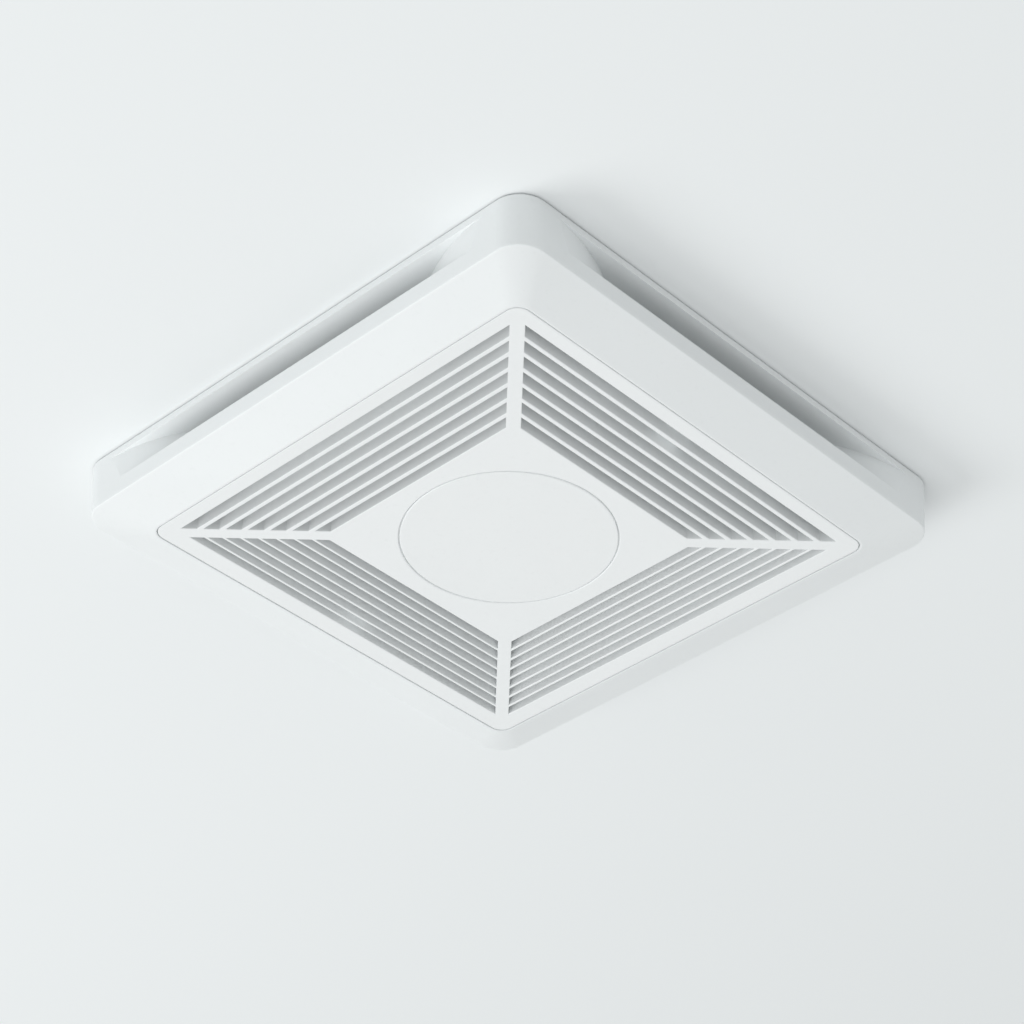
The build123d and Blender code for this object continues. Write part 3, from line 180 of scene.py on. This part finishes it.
def dull_plastic(name, colour, rough=0.5):
    """Unpainted moulded plastic with a coarse spark texture and pale scuffs."""
    t = Tree(name)
    scuff = t.span(t.noise(70, 5, 0.65, (1, 1, 4)), 0.62, 0.75, 0, 0.35)
    tone = t.mix(t.span(t.noise(25, 3), 0.3, 0.7), shade(colour, 0.88), shade(colour, 1.06))
    tone = t.mix(scuff, tone, tuple(min(1.0, channel * 1.35 + 0.04) for channel in colour))
    finish = t.span(t.noise(55, 3), 0.3, 0.7, rough - 0.08, rough + 0.1)
    return t.done(tone, finish, t.bump(t.noise(1500, 3), 0.25, 0.0001))


def galvanised(name, colour):
    """Zinc-coated sheet: angular spangles, each with its own tone, and rolling streaks."""
    t = Tree(name)
    spangle = t.cells(110)
    tone_of = t.tree.nodes.new("ShaderNodeSeparateXYZ")
    t.put(tone_of.inputs[0], spangle.outputs["Color"])
    grain = tone_of.outputs["X"]
    tone = t.mix(grain, shade(colour, 0.84), shade(colour, 1.08))
    tone = t.mix(t.span(t.noise(16, 4), 0.45, 0.75, 0, 0.3), tone, shade(colour, 0.72))
    finish = t.span(grain, 0, 1, 0.34, 0.52)
    streak = t.bump(t.noise(90, 3, 0.6, (1, 12, 1)), 0.12, 0.0002)
    return t.done(tone, finish, t.bump(grain, 0.10, 0.0001, streak), 0.85)


def drawn_metal(name, colour, rough=0.3, stretch=(1, 1, 14)):
    """Drawn, turned or plated metal with fine lines along the stretch."""
    t = Tree(name)
    lines = t.noise(240, 4, 0.6, stretch)
    tone = t.mix(t.span(lines, 0.3, 0.7), shade(colour, 0.86), shade(colour, 1.05))
    tone = t.mix(t.span(t.noise(60, 4), 0.6, 0.8, 0, 0.4), tone, shade(colour, 0.6))
    finish = t.span(lines, 0.3, 0.7, rough - 0.06, rough + 0.12)
    return t.done(tone, finish, t.bump(lines, 0.12, 0.00008), 1.0)


def cast_metal(name, colour):
    """Die-cast alloy with a soft orange-peel skin."""
    t = Tree(name)
    tone = t.mix(t.span(t.noise(45, 4), 0.3, 0.7), shade(colour, 0.82), colour)
    finish = t.span(t.noise(120, 3), 0.3, 0.7, 0.42, 0.62)
    return t.done(tone, finish, t.bump(t.noise(700, 3), 0.3, 0.0002), 0.9)


def enamel(name, colour):
    """Baked enamel with a slight orange peel and rubbed spots."""
    t = Tree(name)
    worn = t.span(t.noise(50, 6, 0.7), 0.66, 0.74, 0, 0.7)
    coat = t.mix(t.noise(20, 2), shade(colour, 0.8), shade(colour, 1.3))
    tone = t.mix(worn, coat, (0.35, 0.34, 0.33))
    finish = t.span(t.noise(80, 2), 0.3, 0.7, 0.3, 0.45)
    return t.done(tone, finish, t.bump(t.noise(500, 2), 0.18, 0.0001))


def laminated(name, colour, sheet=0.0005):
    """Stack of thin steel sheets seen edge on."""
    t = Tree(name)
    turns = t.maths("MULTIPLY", t.axis("Z"), 2 * math.pi / sheet)
    edge = t.maths("SINE", turns)
    tone = t.mix(t.span(edge, -1, 1), shade(colour, 0.55), shade(colour, 1.1))
    tone = t.mix(t.span(t.noise(40, 5), 0.55, 0.75, 0, 0.5), tone, (0.20, 0.13, 0.09))
    return t.done(tone, 0.45, t.bump(edge, 0.35, 0.0001), 0.8)


def wound(name, colour, wire=0.0006):
    """Lacquered copper end turns: rings of wire, uneven and slightly crossed, with painted shade
    in the grooves between them.
    """
    t = Tree(name)
    x, y = t.axis("X"), t.axis("Y")
    radius = t.maths("SQRT", t.maths("ADD", t.maths("MULTIPLY", x, x), t.maths("MULTIPLY", y, y)))
    wander = t.span(t.noise(90, 2), 0, 1, -0.0006, 0.0006)
    depth = t.maths("ADD", t.maths("ADD", radius, t.axis("Z")), wander)
    phase = t.maths("MULTIPLY", depth, 2 * math.pi / wire)
    strand = t.maths("SINE", phase)
    # painted shade: the grooves between the wires are darker and their crests lighter
    tone = t.mix(t.span(strand, -1, 1), shade(colour, 0.4), shade(colour, 1.15))
    return t.done(tone, 0.32, t.bump(strand, 0.6, 0.0002), 0.85)


def foam(name, colour):
    """Closed-cell foam: small open pits, painted darker inside as shade."""
    t = Tree(name)
    pits = t.cells(900).outputs["Distance"]
    # painted shade: each pit darkens towards its middle
    tone = t.mix(t.span(pits, 0, 0.7), shade(colour, 0.6), shade(colour, 1.25))
    return t.done(tone, 0.9, t.bump(pits, 0.8, 0.0004))


def soft_rubber(name, colour, rough=0.7):
    """Rubber with a bloom of paler dust."""
    t = Tree(name)
    bloom = t.span(t.noise(60, 5, 0.6), 0.45, 0.8, 0, 0.5)
    tone = t.mix(bloom, colour, tuple(channel * 1.2 + 0.03 for channel in colour))
    finish = t.span(t.noise(90, 3), 0.3, 0.7, rough - 0.1, rough + 0.1)
    return t.done(tone, finish, t.bump(t.noise(900, 2), 0.2, 0.0001))


def make_materials():
    return {
        "fascia_white": white_plastic("fascia_white", (0.895, 0.915, 0.920), 0.42),
        "grille_white": white_plastic("grille_white", (0.925, 0.942, 0.946), 0.42, dust_and_shade=True),
        "disc_white": white_plastic("disc_white", (0.930, 0.948, 0.950), 0.40),
        "foam": foam("foam", (0.42, 0.42, 0.42)),
        "galvanised": galvanised("galvanised", (0.60, 0.62, 0.63)),
        "scroll_sheet": galvanised("scroll_sheet", (0.56, 0.58, 0.59)),
        "screw_steel": drawn_metal("screw_steel", (0.68, 0.67, 0.62), 0.28, (1, 1, 5)),
        "spring_steel": drawn_metal("spring_steel", (0.50, 0.51, 0.52), 0.25),
        "wheel_plastic": dull_plastic("wheel_plastic", (0.62, 0.64, 0.64)),
        "motor_paint": enamel("motor_paint", (0.030, 0.032, 0.035)),
        "cast_alloy": cast_metal("cast_alloy", (0.60, 0.61, 0.62)),
        "shaft_steel": drawn_metal("shaft_steel", (0.62, 0.63, 0.64), 0.2, (1, 1, 0.1)),
        "lamination": laminated("lamination", (0.36, 0.37, 0.39)),
        "copper_wire": wound("copper_wire", (0.70, 0.26, 0.10)),
        "black_rubber": soft_rubber("black_rubber", (0.025, 0.025, 0.026)),
        "lead_sheath": soft_rubber("lead_sheath", (0.60, 0.61, 0.61), 0.5),
        "grey_plastic": dull_plastic("grey_plastic", (0.30, 0.32, 0.33)),
        "dark_plastic": dull_plastic("dark_plastic", (0.035, 0.037, 0.040), 0.45),
        "capacitor_case": dull_plastic("capacitor_case", (0.05, 0.055, 0.065), 0.4),
        "spigot_plastic": dull_plastic("spigot_plastic", (0.74, 0.75, 0.75), 0.45),
        "leaf_plastic": dull_plastic("leaf_plastic", (0.45, 0.47, 0.48), 0.45),
    }


materials = make_materials()
for entry in frame["record"]["subparts"]:
    piece = nodes[entry["node"]]
    for slot in piece.material_slots:
        slot.material = materials[entry["material_slot"]]


# ---- Wound springs ------------------------------------------------------------------

def helix(name, centre, axis, coil_r, wire_r, turns, pitch):
    """Wire wound round an axis through centre, as one closed tube."""
    along = Vector(axis).normalized()
    side = along.orthogonal().normalized()
    up = along.cross(side)
    steps, sides = turns * COIL_STEPS, WIRE_SIDES
    points, faces = [], []
    for step in range(steps + 1):
        turn = 2 * math.pi * turns * step / steps
        rise = pitch * turns * (step / steps - 0.5)
        outward = math.cos(turn) * side + math.sin(turn) * up
        around = (-math.sin(turn) * side + math.cos(turn) * up) * coil_r
        tangent = around + along * pitch / (2 * math.pi)
        across = tangent.normalized().cross(outward)
        spine = Vector(centre) + along * rise + outward * coil_r
        for k in range(sides):
            a = 2 * math.pi * k / sides
            points.append(spine + wire_r * (math.cos(a) * outward + math.sin(a) * across))
    for step in range(steps):
        for k in range(sides):
            a, b = step * sides + k, step * sides + (k + 1) % sides
            faces.append((a, b, b + sides, a + sides))
    faces.append(tuple(range(sides))[::-1])
    faces.append(tuple(steps * sides + k for k in range(sides)))
    mesh = bpy.data.meshes.new(name)
    mesh.from_pydata(points, [], faces)
    mesh.update()
    mesh.validate()
    for face in mesh.polygons:
        face.use_smooth = len(face.vertices) == 4
    piece = bpy.data.objects.new(name, mesh)
    bpy.context.scene.collection.objects.link(piece)
    mesh.materials.append(materials["spring_steel"])
    return piece


def middle(node):
    low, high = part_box(node)
    return [(a + b) / 2 for a, b in zip(low, high)], [b - a for a, b in zip(low, high)]


for end in ("front", "back"):
    centre, size = middle("spring_coil_" + end)
    coil_r = size[0] / 2 - COIL_WIRE_R
    pitch = size[1] / 2 - COIL_WIRE_R
    coil = helix("coil_wire_" + end, centre, (0, 1, 0), coil_r, COIL_WIRE_R * 0.98, 2, pitch)
    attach(coil, "grille")
    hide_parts("spring_coil_" + end)

centre, size = middle("damper_spring")
coil_r = size[0] / 2 - DAMPER_WIRE_R
coil = helix("damper_wire", centre, (0, 0, 1), coil_r, DAMPER_WIRE_R * 0.95, 3, 2 * DAMPER_WIRE_R)
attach(coil, "housing")
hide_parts("damper_spring")


# ---- Ceiling, light and camera ------------------------------------------------------

def ceiling():
    """Plain pale ceiling with the cut-out for the box, clear when seen from the void."""
    corners = [(1, 1), (-1, 1), (-1, -1), (1, -1)]
    points = [(x * CEILING_HALF, y * CEILING_HALF, 0) for x, y in corners]
    points += [(x * CEILING_HOLE_HALF, y * CEILING_HOLE_HALF, 0) for x, y in corners]
    faces = [(k, (k + 1) % 4, 4 + (k + 1) % 4, 4 + k) for k in range(4)]
    mesh = bpy.data.meshes.new("ceiling")
    mesh.from_pydata(points, [], [face[::-1] for face in faces])
    mesh.update()
    t = Tree("ceiling_paint")
    tone = t.mix(t.span(t.noise(2, 3), 0.3, 0.7), (0.890, 0.908, 0.913), (0.900, 0.917, 0.922))
    t.done(tone, 0.9, t.bump(t.noise(300, 3), 0.05, 0.0003))
    clear = t.tree.nodes.new("ShaderNodeBsdfTransparent")
    choose = t.tree.nodes.new("ShaderNodeMixShader")
    facing = t.tree.nodes.new("ShaderNodeNewGeometry")
    output = t.tree.nodes["Material Output"]
    t.put(choose.inputs[0], facing.outputs["Backfacing"])
    t.put(choose.inputs[1], t.shader.outputs[0])
    t.put(choose.inputs[2], clear.outputs[0])
    t.put(output.inputs["Surface"], choose.outputs[0])
    mesh.materials.append(t.material)
    board = bpy.data.objects.new("ceiling", mesh)
    bpy.context.scene.collection.objects.link(board)


def area_light(name, place, aim, size, watts, colour):
    data = bpy.data.lights.new(name, "AREA")
    data.shape = "SQUARE"
    data.size = size
    data.energy = watts
    data.color = colour
    lamp = bpy.data.objects.new(name, data)
    lamp.location = place
    direction = Vector(aim) - Vector(place)
    lamp.rotation_euler = direction.to_track_quat("-Z", "Y").to_euler()
    bpy.context.scene.collection.objects.link(lamp)


def camera():
    """Camera below the ceiling, looking up at the near corner of the fan."""
    data = bpy.data.cameras.new("camera")
    data.sensor_width = 36.0
    data.lens = 101.46
    data.clip_start = 0.05
    data.clip_end = 50.0
    forward = Vector((0.5747, 0.5523, 0.6039)).normalized()
    right = Vector((0.6893, -0.7244, 0.0065))
    right = (right - forward * right.dot(forward)).normalized()
    up = right.cross(forward)
    eye = bpy.data.objects.new("camera", data)
    place = Matrix.Translation((-0.8139, -0.7841, -0.8762))
    turn = Matrix((right, up, -forward)).transposed().to_4x4()
    eye.matrix_world = place @ turn
    bpy.context.scene.collection.objects.link(eye)
    bpy.context.scene.camera = eye


ceiling()
camera()
world = bpy.data.worlds.new("studio")
world.use_nodes = True
world.node_tree.nodes["Background"].inputs["Color"].default_value = WORLD_COLOUR
world.node_tree.nodes["Background"].inputs["Strength"].default_value = WORLD_STRENGTH
bpy.context.scene.world = world
area_light("key", (-1.3, 2.1, -2.0), (0, 0, 0), 1.8, 34, LIGHT_TINT)
area_light("floor", (-1.1, -0.2, -2.8), (0, 0, 0), 2.6, 26, LIGHT_TINT)
area_light("top", (1.2, -1.0, 2.2), (0, 0, 0.05), 2.0, 30, (1, 1, 1))
bpy.context.scene.view_settings.view_transform = "Standard"
